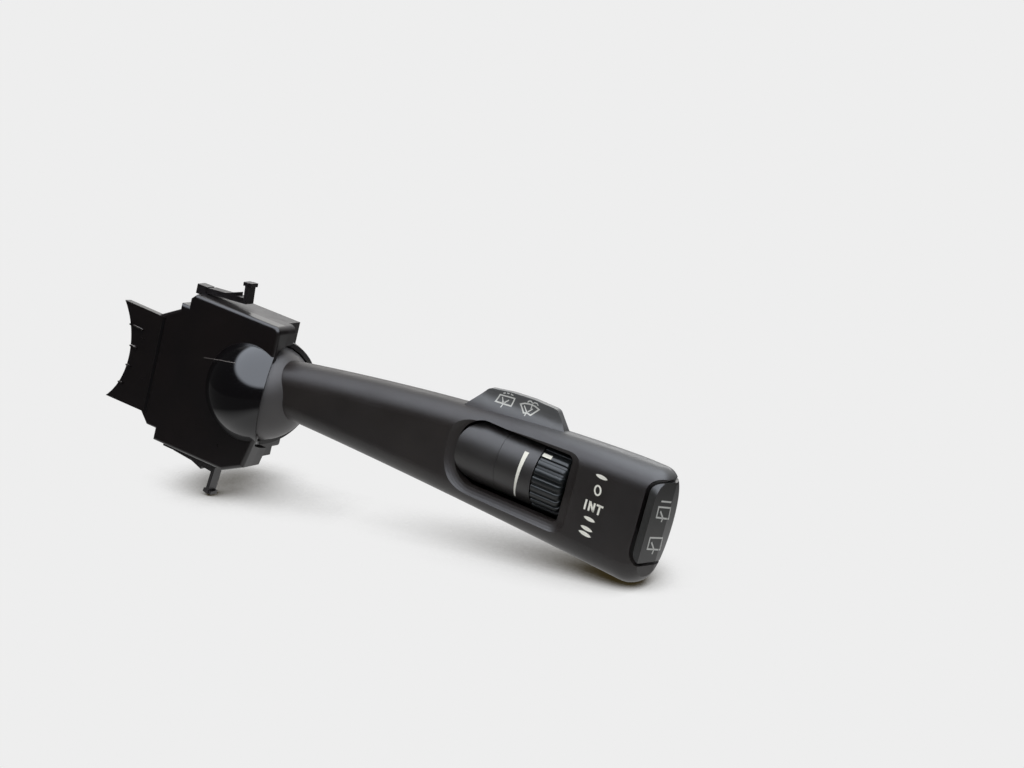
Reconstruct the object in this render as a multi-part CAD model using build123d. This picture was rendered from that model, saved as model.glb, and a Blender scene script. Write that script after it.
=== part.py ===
from build123d import *
import math
import os

# Combination stalk switch for wipers and washers, in millimetres.
# Everything is drawn about the ball pivot: X along the lever to its tip, -Y to the driver, +Z up.
# At export it is moved so that the origin lies on the housing's rear seating face, level with the pivot.

# ---- ball joint ----
ball_radius = 16.0
ball_gap = 0.5
socket_wall = 1.4
mouth_turn = 25.0
mouth_reach = 3.1
mouth_opening = 17.5
mouth_collar = 1.4
dome_wall = 1.4
dome_edge = -0.85
dome_tilt = 6.0
gimbal_pin_radius = 2.2
gimbal_pin_inner = 9.0
cross_pin_radius = 1.5
pin_fit = 0.05

# ---- housing ----
wall = 1.8
housing_length = 39.0
housing_height = 51.0
housing_right = 7.5
housing_drop = 2.0
front_depth = 9.0
parting_depth = 4.0
rear_depth = 11.4
land_height = 0.6
seat_to_pivot = 22.0
seat_lands = ((-22.0, 0.0, 9.0, 14.0), (-22.0, 16.5, 9.0, 5.0), (-8.0, 18.0, 9.0, 4.0))
rear_right = 0.8
body_step = 1.6
body_corner = 2.2
front_edge_round = 1.2
nose_length = 7.5
nose_top_cut = 10.8
nose_bottom_cut = 7.8
top_cut_length = 5.0
top_cut_height = 4.4
lower_cut_length = 10.0
lower_cut_height = 14.8

# ---- column shield ----
column_radius = 22.5
shield_length = 18.5
shield_top = 11.9
shield_bottom = -21.1
shield_thickness = 2.4
shield_fold = 10.0
shield_rib_lengths = (6.5, 3.4, 2.2, 2.0)
shield_rib_width = 0.5

# ---- latch arms ----
latch_top_length = 16.3
latch_bottom_length = 18.5
latch_root = 6.0
latch_thickness = 1.8
latch_width = 4.0
latch_gap = 0.4
latch_depth = 4.5
latch_splay = 5.0
latch_flex = 4.0
latch_tooth = 1.0
grip_top_height = 5.0
grip_bottom_height = 7.5
grip_length = 3.2
grip_width = 3.4
grip_thickness = 1.2

# ---- lever shells ----
lever_start = 9.0
lever_tip = 144.4
lever_front = 8.0
neck_station = 9.0
neck_top = 12.9
neck_bottom = 5.1
neck_back = 8.5
top_rise = 13.0
bottom_drop = 5.6
back_swell = 8.8
edge_depth = 7.5
edge_height = 7.0
lever_wall = 1.8
lever_parting = 2.0
tip_round_top = 5.0
tip_round_bottom = 8.0
tip_round_back = 16.5
tip_round_share = 0.97
tip_slices = (16.5, 14.9, 13.0, 10.8, 8.6, 6.5, 4.6, 3.1, 1.9, 1.0, 0.4)
body_slices = 8
end_bevel = 1.9
end_bevel_depth = 8.0
end_bevel_round = 1.5

# ---- thumb tab on the lever's top edge ----
tab_points = ((73.0, 20.9), (79.0, 28.3), (86.6, 29.5), (94.0, 29.95), (102.4, 29.7), (107.2, 23.8))
tab_round = 2.4
tab_thickness = 2.4
tab_spread = 4.6

# ---- pocket, drums and interval dial ----
dial_axis_y = 2.2
dial_axis_z = 9.9
dial_radius = 11.0
dial_length = 9.6
dial_wall = 2.2
dial_web = 2.6
dial_edge = 1.5
dial_grooves = 26
groove_radius = 0.5
dial_gap = 0.4
dial_fit = 0.05
dial_travel = 100.0
drum_radius = 10.7
drum_half = 9.6
drum_back = 4.0
drum_wall = 1.8
drum_length = 12.4
insert_length = 13.9
insert_start = 77.2
insert_corner = 7.5
drum_gap = 0.1
pocket_half = 10.4
pocket_gap = 0.6
pocket_wall = 1.4
pocket_depth = 4.5
pocket_corner = 1.7
pocket_rim = 3.0
pocket_rim_depth = 1.3
spigot_radius = 3.0
resistor_radius = 7.4
resistor_thickness = 1.2

# ---- end rocker ----
rocker_bottom = -1.6
rocker_top = 22.6
rocker_start = 140.3
rocker_end_gap = 1.0
rocker_back_gap = 1.3
rocker_corner = 3.0
rocker_axis_x = 132.5
rocker_pin_radius = 1.2
rocker_hub_radius = 3.2
rocker_stem_height = 7.0
rocker_stem_front = 4.2
rocker_stem_back = 8.2
rocker_paddle = 13.0
bulkhead = 1.8
side_gap = 0.3

# ---- inner lever and gimbal ----
core_height = 5.6
core_width = 5.0
core_hub_radius = 4.4
core_tail = 22.0
core_reach = 44.0
core_fit = 0.4
gimbal_length = 14.0
gimbal_depth = 11.8
gimbal_height = 16.0
gimbal_slot = 9.6
gimbal_boss_radius = 5.0
gimbal_boss_reach = 13.0
gimbal_gap = 0.12
washer_swing = 7.0

# ---- plunger and detent block ----
plunger_radius = 1.6
plunger_shank_radius = 0.8
plunger_head = 5.0
plunger_length = 12.0
plunger_travel = 1.2
plunger_reach = 25.6
plunger_fit = 0.06
crest_gap = 0.3
notch_radius = 1.9
notch_depth = 0.6
speed_step = 6.0
steps_down = 3
detent_depth = 12.0
detent_thickness = 3.0
spring_wire_radius = 0.17
spring_coil_radius = 1.25
spring_pitch = 0.85

# ---- contact board and sliders ----
board_thickness = 1.3
board_edge_gap = 0.3
board_right = 7.0
slider_gap = 0.15
slider_arm = 14.0
slider_width = 9.0
slider_thickness = 1.7
slider_height = 8.0
slider_pin_radius = 1.1
slider_pin_gap = 0.2
slider_rail = 1.0
arm_height = 4.0
arm_gap = 0.2
washer_arm = 10.5
washer_slider_length = 5.0
washer_slider_width = 5.0
washer_slider_height = 1.6
washer_pin_radius = 1.0
washer_pin_gap = 0.2
shelf_thickness = 1.8
shelf_width = 11.0

# ---- connector ----
connector_width = 23.0
connector_height = 12.6
connector_length = 15.0
connector_x = -18.0
connector_z = -19.0
connector_wall = 1.3
connector_floor = 2.0
window_margin = 2.6
pin_columns = 6
pin_pitch = 2.8
pin_row_gap = 3.0
pin_size = 0.64
pin_reach = 7.5
pin_tail = 1.6
pin_hole_gap = 0.1

# ---- lever electrics ----
lever_board_start = 88.0
lever_board_end = 130.0
lever_board_thickness = 1.2
lever_board_top = -3.4
lever_board_front = 3.6
lever_board_back = 3.6
rocker_board_thickness = 1.2
rocker_board_height = 21.0
dome_pad_radius = 1.5

# ---- shell screws ----
screw_radius = 1.1
screw_head_radius = 2.3
screw_head_height = 1.5
screw_sink = 3.5
screw_end = -3.0
screw_stations = (58.0, 121.0)
boss_wall = 1.5

far = 300.0


# ---- helpers ----
def block(x0, x1, y0, y1, z0, z1):
    """A box between two opposite corners."""
    return Pos((x0 + x1) / 2, (y0 + y1) / 2, (z0 + z1) / 2) * Box(abs(x1 - x0), abs(y1 - y0), abs(z1 - z0))


def rod(axis, start, length, radius):
    """A round bar that runs from start along +X, +Y or +Z."""
    turn = {"x": Rot(0, 90, 0), "y": Rot(-90, 0, 0), "z": Rot(0, 0, 0)}[axis]
    return Pos(*start) * turn * Pos(0, 0, length / 2) * Cylinder(radius, length)


def front_prism(face, y_front, y_back):
    """A face drawn in X and Z, extruded from y_front back to y_back."""
    return extrude(Plane.XZ.offset(-y_back) * face, amount=y_back - y_front)


def ball(radius):
    """A sphere with its poles along the lever."""
    return Rot(0, 90, 0) * Sphere(radius)


def polygon(points):
    return make_face(Polyline(*points, close=True))


def turned(shape, angle, x, y):
    """A shape turned about an upright line through x, y."""
    return Pos(x, y, 0) * Rot(0, 0, angle) * Pos(-x, -y, 0) * shape


# ---- housing ----
housing_left = housing_right - housing_length
housing_top = housing_height / 2 - housing_drop
housing_bottom = -housing_height / 2 - housing_drop
nose_left = housing_left - nose_length
nose_top = housing_top - nose_top_cut
nose_bottom = housing_bottom + nose_bottom_cut
socket_inner = ball_radius + ball_gap
socket_outer = socket_inner + socket_wall
rear_wall = rear_depth - wall
socket_start = rear_right - wall


def body_outline(inset):
    """The main box of the housing from the front, with its lower right corner cut away."""
    left, right = housing_left + inset, housing_right - inset
    top, bottom = housing_top - inset, housing_bottom + inset
    face = polygon([
        (left, top), (right, top), (right, bottom + lower_cut_height),
        (right - lower_cut_length / 4, bottom + lower_cut_height / 4),
        (right - lower_cut_length, bottom), (left, bottom),
    ])
    corner = [v for v in face.vertices() if abs(v.X - right) < 0.001 and abs(v.Y - top) < 0.001]
    return fillet(corner, max(body_corner - inset, 0.3))


def nose_outline(inset):
    """The housing's nose, which tapers towards the steering column."""
    left = nose_left + inset
    return polygon([
        (housing_left + top_cut_length, housing_top - top_cut_height - inset),
        (housing_left + 2 * wall, housing_top - top_cut_height - inset),
        (left, nose_top - inset), (left, nose_bottom + inset),
        (housing_left - nose_length / 2, housing_bottom + nose_bottom_cut / 2 + inset),
        (housing_left + top_cut_length, housing_bottom + nose_bottom_cut / 2 + inset),
    ])


def top_corner():
    """The corner that the housing lacks above its nose."""
    return polygon([
        (housing_left - 1, housing_top + 1), (housing_left - 1, housing_top - top_cut_height),
        (housing_left + top_cut_length - wall, housing_top - top_cut_height),
        (housing_left + top_cut_length - wall, housing_top - wall),
        (housing_left + top_cut_length, housing_top), (housing_left + top_cut_length, housing_top + 1),
    ])


def rim_outline():
    return body_outline(0) - top_corner() + nose_outline(0)


def rim_cavity():
    right = housing_left + top_cut_length
    guard = Pos((right + housing_left) / 2 - wall, housing_top) * Rectangle(
        top_cut_length + 2 * wall, 2 * (top_cut_height + wall))
    return body_outline(wall) - guard + nose_outline(wall)


def socket_shell(start):
    """The spherical wall around the ball, from start to its mouth, which is set back at top and bottom."""
    inside = block(-far, mouth_reach, -far, far, -far, far)
    keep = Rot(0, 0, mouth_turn) * inside + Rot(0, 0, -mouth_turn) * inside
    return (ball(socket_outer) - ball(socket_inner)) & keep & block(start, far, -far, far, -far, far)


def mouth_room():
    """The round opening in the housing's side wall, behind the front face."""
    return rod("x", (mouth_reach, 0, 0), far, mouth_opening) & block(-far, far, -front_depth + wall, far, -far, far)


def collar_ring():
    """The short tube between the socket's mouth and the housing's side wall."""
    tube = rod("x", (0, 0, 0), housing_right, mouth_opening + mouth_collar)
    tube &= front_prism(body_outline(0), -front_depth + wall / 2, 0)
    return tube - rod("x", (-1, 0, 0), far, mouth_opening)


def gimbal_pin(side):
    """A pin moulded inside the socket wall, on which the gimbal turns; side is -1 in front, 1 behind."""
    outer = socket_inner + socket_wall / 2
    start = gimbal_pin_inner if side > 0 else -outer
    return rod("y", (0, start, 0), outer - gimbal_pin_inner, gimbal_pin_radius)


def make_front_cover():
    cover = front_prism(rim_outline(), -front_depth, -parting_depth)
    front = cover.faces().sort_by(Axis.Y)[0]
    cover = fillet(front.outer_wire().edges(), front_edge_round)
    cover -= front_prism(rim_cavity(), -front_depth + wall, -parting_depth)
    bulge = socket_shell(-far) & block(-far, far, -far, -front_depth + wall, -far, far)
    ring = socket_shell(socket_start) & block(-far, far, -far, -parting_depth, -far, far)
    collar = collar_ring() & block(-far, far, -far, -parting_depth, -far, far)
    cover = cover - mouth_room() + collar + bulge + ring
    cover -= ball(socket_inner)
    return cover + gimbal_pin(-1) + make_shield()


def make_shield():
    """The curved plate that clears the steering column, folded back from the nose."""
    fold = nose_left + front_edge_round
    tip = fold - shield_length
    middle = (shield_top + shield_bottom) / 2
    half = (shield_top - shield_bottom) / 2
    centre = tip - math.sqrt(column_radius**2 - half**2)
    plate = polygon([(fold + wall, nose_top), (tip, shield_top), (tip, shield_bottom), (fold + wall, nose_bottom)])
    plate -= Pos(centre, middle) * Circle(column_radius)
    shield = front_prism(plate, -front_depth, -front_depth + shield_thickness)
    rib_step = 2 * half / (len(shield_rib_lengths) + 1)
    for number, length in enumerate(shield_rib_lengths):
        z = shield_top - rib_step * (number + 1)
        edge = centre + math.sqrt(column_radius**2 - (z - middle) ** 2)
        shield += block(edge, edge + length, -front_depth - shield_rib_width, -front_depth + shield_rib_width,
                        z - shield_rib_width / 2, z + shield_rib_width / 2)
    return turned(shield, -shield_fold, fold, -front_depth)


def rear_outline(inset):
    """The rear box, stepped in from the rim so that the rim slides in the column module's grooves."""
    left, right = housing_left + body_step + inset, rear_right - inset
    keep = Pos((left + right) / 2, 0) * Rectangle(right - left, far)
    return (body_outline(body_step + inset) - Pos(0, -body_step - inset) * top_corner()) & keep


def make_base_shell():
    shell = front_prism(rim_outline(), -parting_depth, 0) + front_prism(rear_outline(0), 0, rear_depth)
    shell -= front_prism(rim_cavity(), -parting_depth, -wall)
    shell -= front_prism(rear_outline(wall), -parting_depth, rear_wall)
    bulge = socket_shell(-far) & block(-far, far, rear_wall, far, -far, far)
    ring = socket_shell(socket_start) & block(-far, far, -parting_depth, far, -far, far)
    collar = collar_ring() & block(-far, far, -parting_depth, far, -far, far)
    shell = shell - mouth_room() + collar + bulge + ring
    shell -= ball(socket_inner)
    shell += gimbal_pin(1)
    half_width = connector_width / 2 - window_margin
    half_height = connector_height / 2 - window_margin
    shell -= block(connector_x - half_width, connector_x + half_width, rear_wall - 1, rear_depth + 1,
                   connector_z - half_height, connector_z + half_height)
    for x, z, width, height in seat_lands:
        shell += block(x - width / 2, x + width / 2, rear_depth - wall / 2, rear_depth + land_height,
                       z - height / 2, z + height / 2)
    for side in (1, -1):
        shell += latch_root_lug(side)
    return shell


# ---- latch arms ----
def latch_line(side):
    """Height of the housing's long edge that a latch arm lies along; side is 1 on top, -1 below."""
    return housing_top if side > 0 else housing_bottom


def latch_axis_x():
    return housing_left + latch_root


def latch_axis_z(side):
    return latch_line(side) + side * (latch_gap + latch_thickness / 2)


def latch_root_lug(side):
    """The lug that holds the arm's root on the housing rim."""
    edge = latch_line(side)
    outer = latch_axis_z(side) + side * (latch_thickness / 2)
    reach = latch_thickness / 2 + side_gap
    x = latch_axis_x()
    low, high = sorted((edge - side * wall / 2, outer))
    lug = block(x - reach - 2 * wall, x, -latch_depth + side_gap, -latch_depth + side_gap + latch_width, low, high)
    lug -= rod("y", (x, -far / 2, latch_axis_z(side)), far, reach)
    return lug & block(-far, far, -parting_depth, far, -far, far)


def make_latch_arm(side):
    """A springy arm with a locking tooth and a T-shaped finger grip at its free end."""
    x = latch_axis_x()
    z = latch_axis_z(side)
    grip_height = grip_top_height if side > 0 else grip_bottom_height
    y_front = -latch_depth + side_gap
    y_back = y_front + latch_width
    middle = (y_front + y_back) / 2
    half = latch_thickness / 2
    end = (latch_top_length if side > 0 else latch_bottom_length) - grip_thickness
    arm = rod("y", (0, y_front, 0), latch_width, half)
    arm += block(0, end, y_front, y_back, -half, half)
    tooth = polygon([(end * 0.45, half), (end * 0.7, half + latch_tooth), (end * 0.7, half)])
    arm += front_prism(tooth, y_front, y_back)
    arm += block(end - grip_thickness, end, middle - grip_width / 2, middle + grip_width / 2, -half, half)
    top = half + grip_height
    arm += block(end - grip_thickness, end, y_front, y_back, 0, top)
    head_middle = end - grip_thickness / 2
    arm += block(head_middle - grip_length / 2, head_middle + grip_length / 2,
                 middle - grip_width / 2, middle + grip_width / 2, top - grip_thickness, top)
    arm = Rot(0, -latch_splay, 0) * arm
    if side < 0:
        arm = mirror(arm, Plane.XY)
    return Pos(x, 0, z) * arm


# ---- connector, contact board and pins ----
def pin_places():
    for row in (-0.5, 0.5):
        for column in range(pin_columns):
            yield (connector_x + (column - (pin_columns - 1) / 2) * pin_pitch, connector_z + row * pin_row_gap)


def square_bars(size, y_front, y_back):
    return [block(x - size / 2, x + size / 2, y_front, y_back, z - size / 2, z + size / 2) for x, z in pin_places()]


board_back = rear_wall
board_front = board_back - board_thickness


def make_connector():
    """The socket for the column module's plug, open to the rear."""
    x0, x1 = connector_x - connector_width / 2, connector_x + connector_width / 2
    z0, z1 = connector_z - connector_height / 2, connector_z + connector_height / 2
    body = block(x0, x1, rear_depth, rear_depth + connector_length, z0, z1)
    body = fillet(body.edges().filter_by(Axis.Y), connector_wall)
    body -= block(x0 + connector_wall, x1 - connector_wall, rear_depth + connector_floor,
                  rear_depth + connector_length + 1, z0 + connector_wall, z1 - connector_wall)
    for hole in square_bars(pin_size + 2 * pin_hole_gap, rear_depth - 1, rear_depth + connector_floor + 1):
        body -= hole
    return body


def make_pins():
    return Compound(square_bars(pin_size, board_front - pin_tail, rear_depth + connector_floor + pin_reach))


def make_contact_board():
    """The board behind the sliders, with two rails that guide the speed slider."""
    x0 = housing_left + body_step + wall + board_edge_gap
    edge = body_step + wall + board_edge_gap
    board = block(x0, -board_right, board_front, board_back, housing_bottom + edge, housing_top - edge)
    board -= block(x0 - 1, x0 + top_cut_length - body_step, board_front - 1, board_back + 1,
                   housing_top - top_cut_height - edge, far)
    for hole in square_bars(pin_size + 2 * pin_hole_gap, board_front - 1, board_back + 1):
        board -= hole
    reach = slider_width / 2 + slider_gap
    rail_half = slider_height / 2 + slider_travel() + 1
    for side in (-1, 1):
        inner = -slider_arm + side * reach
        board += block(inner, inner + side * slider_rail, board_front - slider_thickness, board_front,
                       -rail_half, rail_half)
    return board


def slider_travel():
    return slider_arm * math.radians(speed_step * steps_down)


slider_back = board_front - slider_gap
slider_front = slider_back - slider_thickness
arm_back = slider_front - arm_gap
arm_front = core_width / 2 + core_tail * math.sin(math.radians(washer_swing)) / 2 + 1.2


def make_speed_slider():
    """The slider that the gimbal's arm moves over the board's tracks."""
    body = block(-slider_arm - slider_width / 2, -slider_arm + slider_width / 2, slider_front, slider_back,
                 -slider_height / 2, slider_height / 2)
    hole = slider_pin_radius + slider_pin_gap
    swing = slider_arm * (1 - math.cos(math.radians(speed_step * steps_down)))
    slot = rod("y", (-slider_arm, slider_front - 1, 0), slider_thickness + 2, hole)
    slot += rod("y", (-slider_arm + swing, slider_front - 1, 0), slider_thickness + 2, hole)
    slot += block(-slider_arm, -slider_arm + swing, slider_front - 1, slider_back + 1, -hole, hole)
    body -= slot
    return body - speed_contact_space(0.05)


def speed_contact_space(gap):
    half = slider_width / 2 - 1
    return block(-slider_arm - half - gap, -slider_arm + half + gap, slider_back - 0.5 - gap, slider_back + gap,
                 -slider_height / 2 + 0.8 - gap, -slider_height / 2 + 2.2 + gap)


def make_speed_contact():
    """The brass bridge that joins two tracks of the board."""
    return speed_contact_space(0)


# ---- gimbal ----
def make_gimbal():
    """The frame that turns on the housing's two pins and carries the lever on its upright pin."""
    body = block(-gimbal_length / 2, gimbal_length / 2, -gimbal_depth / 2, gimbal_depth / 2,
                 -gimbal_height / 2, gimbal_height / 2)
    body += rod("y", (0, -gimbal_boss_reach, 0), 2 * gimbal_boss_reach, gimbal_boss_radius)
    half_slot = core_height / 2 + gimbal_gap
    body -= block(-far, far, -gimbal_slot / 2, gimbal_slot / 2, -half_slot, half_slot)
    bore = gimbal_pin_radius + pin_fit
    depth = gimbal_boss_reach - gimbal_pin_inner + 2 * gimbal_gap
    for start in (-gimbal_boss_reach, gimbal_boss_reach - depth):
        body -= rod("y", (0, start, 0), depth, bore)
    body -= rod("z", (0, 0, -far / 2), far, cross_pin_radius + pin_fit)
    arm_end = -slider_arm - slider_pin_radius - 0.9
    body += block(arm_end, -gimbal_boss_radius + 1.5, arm_front, arm_back, -arm_height / 2, arm_height / 2)
    body += rod("y", (-slider_arm, arm_back - 0.2, 0), slider_back - arm_back - 0.1, slider_pin_radius)
    shelf_low = washer_slider_low + washer_slider_height + slider_gap
    shelf_left = -washer_arm - washer_slider_length / 2 - slider_gap - slider_rail
    body += block(shelf_left, -gimbal_length / 2 + 0.5, -shelf_width / 2, shelf_width / 2,
                  shelf_low, shelf_low + shelf_thickness)
    lip_right = -washer_arm + washer_slider_length / 2 + slider_gap
    for x0, x1 in ((shelf_left, shelf_left + slider_rail), (lip_right, -gimbal_length / 2 + 0.5)):
        body += block(x0, x1, -shelf_width / 2, shelf_width / 2, washer_slider_low, shelf_low)
    return body


washer_slider_low = core_height / 2 + 0.6


def make_washer_slider():
    x0, x1 = -washer_arm - washer_slider_length / 2, -washer_arm + washer_slider_length / 2
    body = block(x0, x1, -washer_slider_width / 2, washer_slider_width / 2,
                 washer_slider_low, washer_slider_low + washer_slider_height)
    return body - rod("z", (-washer_arm, 0, 0), far, washer_pin_radius + washer_pin_gap)


def make_cross_pin():
    return rod("z", (0, 0, -gimbal_height / 2), gimbal_height, cross_pin_radius)


# ---- detent ----
def make_detent_block():
    """The notched track that gives the lever its positions and brings it back from the washer stroke."""
    crest = plunger_reach + crest_gap
    left = housing_left + body_step + wall
    half = detent_depth / 2
    low = -crest * math.sin(math.radians(2 * speed_step)) - 1
    high = crest * math.sin(math.radians(speed_step * (steps_down + 1))) + 1
    body = block(left, left + wall + detent_thickness, -half, half, low, high)
    body -= ball(crest)
    for step in range(-1, steps_down + 1):
        angle = math.radians(speed_step * step)
        centre = crest + notch_depth - notch_radius
        body -= rod("y", (-centre * math.cos(angle), -far / 2, centre * math.sin(angle)), far, notch_radius)
    return body


def make_plunger():
    tip = -plunger_reach
    body = rod("x", (tip + plunger_radius, 0, 0), plunger_head - plunger_radius, plunger_radius)
    body += Pos(tip + plunger_radius, 0, 0) * Sphere(plunger_radius)
    return body + rod("x", (tip + plunger_radius, 0, 0), plunger_length - plunger_radius, plunger_shank_radius)


spring_end = -plunger_reach + plunger_head + plunger_travel + 0.15
spring_seat = -core_tail + 7.0


def make_plunger_spring():
    rise = spring_seat - spring_end - 2 * spring_wire_radius
    path = Helix(spring_pitch, rise, spring_coil_radius)
    section = Plane(origin=path @ 0, z_dir=path % 0) * Circle(spring_wire_radius)
    coil = sweep(section, path=path)
    return Pos(spring_end + spring_wire_radius, 0, 0) * Rot(0, 90, 0) * coil


# ---- lever form ----
def along(x):
    return max(0.0, (x - neck_station) / (lever_tip - neck_station))


def lever_top(x):
    return neck_top + top_rise * (1 - (1 - along(x)) ** 1.75)


def lever_bottom(x):
    return -neck_bottom - bottom_drop * along(x) ** 1.5


def lever_back(x):
    return neck_back + back_swell * (1 - (1 - along(x)) ** 2)


def rounding(radius, x):
    """How far in an edge of this radius has come, near the lever's tip."""
    reach = max(0.0, radius - (lever_tip - x)) * tip_round_share
    return radius - math.sqrt(radius ** 2 - reach ** 2)


def lever_section(x, inset):
    """A slice across the lever: flat in front, round along both edges, crowned behind."""
    top = lever_top(x) - rounding(tip_round_top, x) - inset
    bottom = lever_bottom(x) + rounding(tip_round_bottom, x) + inset
    front, back = -lever_front + inset, lever_back(x) - rounding(tip_round_back, x) - inset
    ridge = -lever_front + edge_depth
    deep, high = edge_depth - inset, edge_height - inset
    edges = [
        Line((front, bottom + high), (front, top - high)),
        EllipticalCenterArc((ridge, top - high), deep, high, start_angle=90, arc_size=90),
        EllipticalCenterArc((ridge, (top + bottom) / 2), back - ridge, (top - bottom) / 2,
                            start_angle=-90, arc_size=180),
        EllipticalCenterArc((ridge, bottom + high), deep, high, start_angle=180, arc_size=90),
    ]
    plane = Plane(origin=(x, 0, 0), x_dir=(0, 1, 0), z_dir=(1, 0, 0))
    return plane * make_face(Wire(edges))


def lever_solid(inset, start, end):
    """The lever's body as a loft, and a second loft through closer slices where its end rounds off."""
    body_end = min(end, lever_tip - tip_slices[0])
    stations = [start + (body_end - start) * number / (body_slices - 1) for number in range(body_slices)]
    body = loft([lever_section(x, inset) for x in stations])
    if end > body_end:
        stations = [lever_tip - gap for gap in tip_slices if lever_tip - gap < end - 0.3] + [end]
        body += loft([lever_section(x, inset) for x in stations])
    return body


def end_profile():
    """The lever's end face is turned a little towards the driver."""
    plan = polygon([(0, -lever_front - 1), (lever_tip - end_bevel, -lever_front - 1),
                    (lever_tip - end_bevel, -lever_front), (lever_tip, -lever_front + end_bevel_depth),
                    (lever_tip, far / 4), (0, far / 4)])
    bevel = [v for v in plan.vertices() if abs(v.X - lever_tip + end_bevel) < 0.001 and abs(v.Y + lever_front) < 0.001]
    return Pos(0, 0, -far / 2) * extrude(fillet(bevel, end_bevel_round), amount=far)


def tab_form():
    """The thumb tab: its front face leans back and flows out of the lever's round top edge."""
    start, end = tab_points[0], tab_points[-1]
    top = max(z for x, z in tab_points)
    foot = lever_top(start[0]) - edge_height
    outline = polygon([(start[0], foot), *tab_points, (end[0], foot)])
    crest = [v for v in outline.vertices() if v.Y > tab_points[1][1] - 0.001]
    outline = fillet(crest, tab_round)
    ridge = -lever_front + edge_depth
    rise = top + 1 - foot
    lean = make_face([
        Line((lever_parting, foot), (lever_parting, foot + rise)),
        Line((lever_parting, foot + rise), (lever_parting - tab_thickness, foot + rise)),
        Line((lever_parting - tab_thickness, foot + rise), (lever_parting - tab_thickness, foot + 0.8 * rise)),
        Spline((lever_parting - tab_thickness, foot + 0.8 * rise),
               (ridge - tab_spread * 0.35, foot + 0.52 * rise), (ridge - tab_spread, foot),
               tangents=((0, -1), (-0.55, -1))),
        Line((ridge - tab_spread, foot), (lever_parting, foot)),
    ])
    profile = Plane(origin=(0, 0, 0), x_dir=(0, 1, 0), z_dir=(1, 0, 0)) * lean
    return front_prism(outline, -far / 2, far / 2) & extrude(profile, amount=far)


# ---- pocket ----
dial_start = insert_start + insert_length + drum_length + 2 * drum_gap + side_gap
drum_start = insert_start + insert_length + drum_gap
pocket_dish = ((-0.1, 1.0), (0.0, 1.0), (0.36, 0.8), (0.66, 0.55), (0.88, 0.28), (1.0, 0.0))


def pocket_outline(grow):
    """The opening for the drums and the dial, rounder at its inner end."""
    half = pocket_half + grow
    x0 = insert_start - pocket_gap - grow
    x1 = dial_start + dial_length + pocket_gap + grow
    face = Pos((x0 + x1) / 2, dial_axis_z) * Rectangle(x1 - x0, 2 * half)
    inner = face.vertices().sort_by(Axis.X)[:2]
    face = fillet(inner, insert_corner + pocket_gap + grow)
    outer = [v for v in face.vertices() if abs(v.X - x1) < 0.001]
    return fillet(outer, pocket_corner + grow)


def pocket_cut():
    floor = -lever_front + pocket_depth
    well = front_prism(pocket_outline(0), -lever_front - 1, floor + 1)
    rim = loft([Plane.XZ.offset(lever_front - pocket_rim_depth * deep) * pocket_outline(pocket_rim * wide)
                for deep, wide in pocket_dish], ruled=True)
    return well + rim


def insert_outline(inset):
    x0, x1 = insert_start + inset, insert_start + insert_length
    face = Pos((x0 + x1) / 2, dial_axis_z) * Rectangle(x1 - x0, 2 * drum_half - 2 * inset)
    return fillet(face.vertices().sort_by(Axis.X)[:2], insert_corner)


def drum_room(inset):
    """The space inside the lever that a fixed drum may fill."""
    half = drum_half - inset
    return block(-far, far, -far, drum_back - inset, dial_axis_z - half, dial_axis_z + half)


def dial_rod(x, length, radius):
    return rod("x", (x, dial_axis_y, dial_axis_z), length, radius)


def make_drum_insert():
    """The plain fixed end of the drum, rounded to suit the pocket's inner end."""
    body = dial_rod(insert_start, insert_length, drum_radius)
    body &= front_prism(insert_outline(0), -far / 2, drum_back)
    core = dial_rod(insert_start - 1, insert_length + 2, drum_radius - drum_wall)
    core &= front_prism(insert_outline(drum_wall), -far / 2, drum_back - drum_wall)
    return body - core


def make_marked_drum():
    """The fixed drum that carries the interval scale, with the spigot on which the dial turns."""
    body = dial_rod(drum_start, drum_length, drum_radius) & drum_room(0)
    body -= dial_rod(drum_start - 1, drum_length - drum_wall + 1, drum_radius - drum_wall) & drum_room(drum_wall)
    spigot = dial_start + dial_length - resistor_thickness - 2 - drum_start - drum_length
    body += dial_rod(drum_start + drum_length - drum_wall / 2, spigot + drum_wall / 2, spigot_radius)
    return body


def make_dial():
    """The ribbed thumbwheel that sets the wiping interval."""
    body = dial_rod(dial_start, dial_length, dial_radius)
    end = body.faces().sort_by(Axis.X)[-1]
    body = fillet(end.edges(), dial_edge)
    body -= dial_rod(dial_start + dial_web, dial_length, dial_radius - dial_wall)
    body -= dial_rod(dial_start - 1, dial_length, spigot_radius + dial_fit)
    groove_length = dial_length - dial_edge + 1
    for number in range(dial_grooves):
        angle = 2 * math.pi * (number + 0.5) / dial_grooves
        y = dial_axis_y - dial_radius * math.cos(angle)
        z = dial_axis_z + dial_radius * math.sin(angle)
        body -= rod("x", (dial_start - 1, y, z), groove_length, groove_radius)
    return body


resistor_start = dial_start + dial_length - resistor_thickness - 2 + drum_gap / 2


def make_resistor_disc():
    """The printed resistor disc, fixed on the spigot's end."""
    return dial_rod(resistor_start, resistor_thickness, resistor_radius)


def make_dial_wiper():
    """The brass wiper that turns with the dial under the resistor disc."""
    x0 = dial_start + dial_web
    ring = dial_rod(x0, 0.4, resistor_radius) - dial_rod(x0 - 1, 3, spigot_radius + side_gap)
    reach = resistor_start - x0 - 0.1
    for side in (-1, 1):
        y = dial_axis_y + side * (resistor_radius - 1)
        ring += block(x0, x0 + reach, y - 0.5, y + 0.5, dial_axis_z - 1, dial_axis_z + 1)
    return ring


# ---- lever shells ----
rocker_middle = (rocker_top + rocker_bottom) / 2
notch_start = rocker_start - rocker_back_gap
cavity_end = notch_start - bulkhead


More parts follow.
